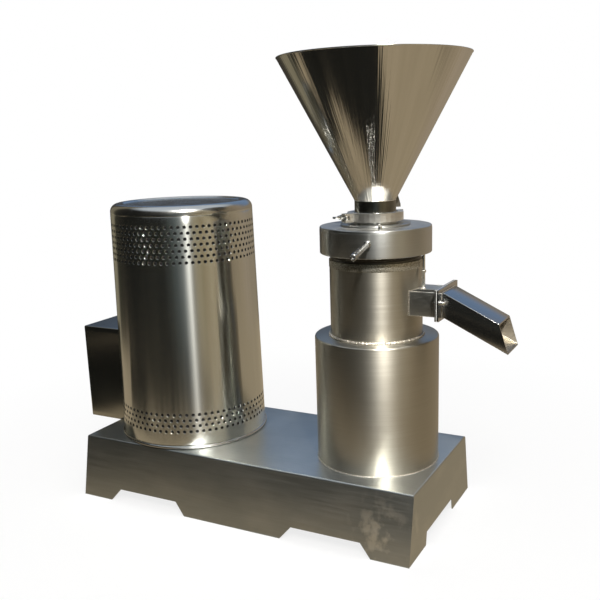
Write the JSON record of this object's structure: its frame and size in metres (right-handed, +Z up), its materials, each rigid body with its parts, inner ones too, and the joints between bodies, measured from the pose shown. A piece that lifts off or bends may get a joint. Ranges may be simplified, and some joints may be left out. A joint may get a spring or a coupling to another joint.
{
  "type": "peanut butter machine",
  "caption": "Vertical stainless nut butter mill: toothed rotor in a round chamber under a conical hopper, belt-driven by a motor under a drum cover on a folded tray base, with a sloping chute.",
  "frame": {"origin": "on the floor, under the middle of the machine's bounding box", "axes": "+X along the base from the motor to the mill and its chute, +Y away from the front, +Z up"},
  "size_m": [1.2698, 0.6646, 1.1677],
  "materials": {
    "tray_steel": "matt pickled stainless sheet",
    "mirror_steel": "mirror polished stainless steel",
    "satin_steel": "satin turned stainless steel",
    "bright_steel": "bright turned stainless steel",
    "tool_steel": "ground hardened steel",
    "cast_iron": "painted cast iron",
    "black_rubber": "black rubber",
    "white_rubber": "white food-grade rubber",
    "black_plastic": "matt black plastic",
    "red_plastic": "glossy red plastic",
    "green_plastic": "glossy green plastic"
  },
  "bodies": {
    "base": {"base_frame": "tray_steel", "motor_pad": "tray_steel", "motor_cover": "mirror_steel", "motor_flange": "cast_iron", "motor_housing": "cast_iron", "fan_cowl": "cast_iron", "motor_bolt_1": "bright_steel", "motor_bolt_2": "bright_steel", "motor_bolt_3": "bright_steel", "motor_bolt_4": "bright_steel", "v_belt_1": "black_rubber", "v_belt_2": "black_rubber", "v_belt_3": "black_rubber", "mill_body": "satin_steel", "bearing_housing": "cast_iron", "lower_bearing": "bright_steel", "upper_bearing": "bright_steel", "shaft_seal": "black_rubber", "grinding_chamber": "satin_steel", "outlet_duct": "satin_steel", "outlet_gasket": "white_rubber", "chute": "satin_steel", "outlet_bolt_front": "bright_steel", "outlet_bolt_back": "bright_steel", "index_post": "bright_steel", "control_box": "satin_steel", "box_lid": "satin_steel", "start_bezel": "bright_steel", "stop_bezel": "bright_steel", "contact_block": "black_plastic", "cable_gland": "black_plastic"},
    "motor_rotor": {"motor_shaft": "bright_steel", "motor_fan": "black_plastic", "drive_pulley": "cast_iron"},
    "mill_spindle": {"spindle": "bright_steel", "rotor": "tool_steel", "rotor_nut": "tool_steel", "driven_pulley": "cast_iron"},
    "stator_unit": {"stator": "tool_steel", "stator_holder": "satin_steel", "cap_ring": "satin_steel", "cap_screw_1": "bright_steel", "cap_screw_2": "bright_steel", "cap_screw_3": "bright_steel", "clamp_half_front": "bright_steel", "clamp_half_back": "bright_steel", "clamp_gasket": "white_rubber", "clamp_hinge_pin": "bright_steel", "clamp_eye_pin": "bright_steel", "hopper": "mirror_steel"},
    "ring": {"adjusting_ring": "satin_steel", "ring_lock_screw": "bright_steel", "handle_front": "bright_steel", "handle_back": "bright_steel"},
    "swing_bolt": {"clamp_bolt": "bright_steel"},
    "clamp_nut": {"clamp_wing_nut": "bright_steel"},
    "front_outlet_nut": {"outlet_nut_front": "bright_steel"},
    "back_outlet_nut": {"outlet_nut_back": "bright_steel"},
    "start_cap": {"start_button": "green_plastic"},
    "stop_cap": {"stop_button": "red_plastic"}
  },
  "joints": [
    {"name": "motor_spin", "type": "hinge", "parent": "base", "child": "motor_rotor", "pos_m": [-0.2935, 0, 0.3], "axis": [0, 0, 1], "continuous": true},
    {"name": "spindle_spin", "type": "hinge", "parent": "base", "child": "mill_spindle", "pos_m": [0.2888, 0, 0.3], "axis": [0, 0, 1], "continuous": true},
    {"name": "stator_lift", "type": "slide", "parent": "base", "child": "stator_unit", "axis": [0, 0, 1], "range_m": [0, 0.003]},
    {"name": "ring_turn", "type": "hinge", "parent": "stator_unit", "child": "ring", "pos_m": [0.2888, 0, 0.74], "axis": [0, 0, 1], "range_deg": [0, 270]},
    {"name": "clamp_bolt_swing", "type": "hinge", "parent": "stator_unit", "child": "swing_bolt", "pos_m": [0.24455, -0.074, 0.7917], "axis": [0, 0, 1], "range_deg": [0, 90]},
    {"name": "clamp_nut_spin", "type": "hinge", "parent": "swing_bolt", "child": "clamp_nut", "pos_m": [0.23046, -0.06414, 0.7917], "axis": [-0.8192, 0.5736, 0], "continuous": true},
    {"name": "outlet_nut_front_spin", "type": "hinge", "parent": "base", "child": "front_outlet_nut", "pos_m": [0.4764, -0.0622, 0.597], "axis": [1, 0, 0], "continuous": true},
    {"name": "outlet_nut_back_spin", "type": "hinge", "parent": "base", "child": "back_outlet_nut", "pos_m": [0.4764, 0.0622, 0.597], "axis": [1, 0, 0], "continuous": true},
    {"name": "start_press", "type": "slide", "parent": "base", "child": "start_cap", "axis": [1, 0, 0], "range_m": [0, 0.0035], "stiffness_N_per_m": 800},
    {"name": "stop_press", "type": "slide", "parent": "base", "child": "stop_cap", "axis": [1, 0, 0], "range_m": [0, 0.0035], "stiffness_N_per_m": 800}
  ],
  "couplings": [
    {"joint": "spindle_spin", "follows": "motor_spin", "ratio": 1.12},
    {"joint": "stator_lift", "follows": "ring_turn", "m_per_rad": 0.000636}
  ]
}
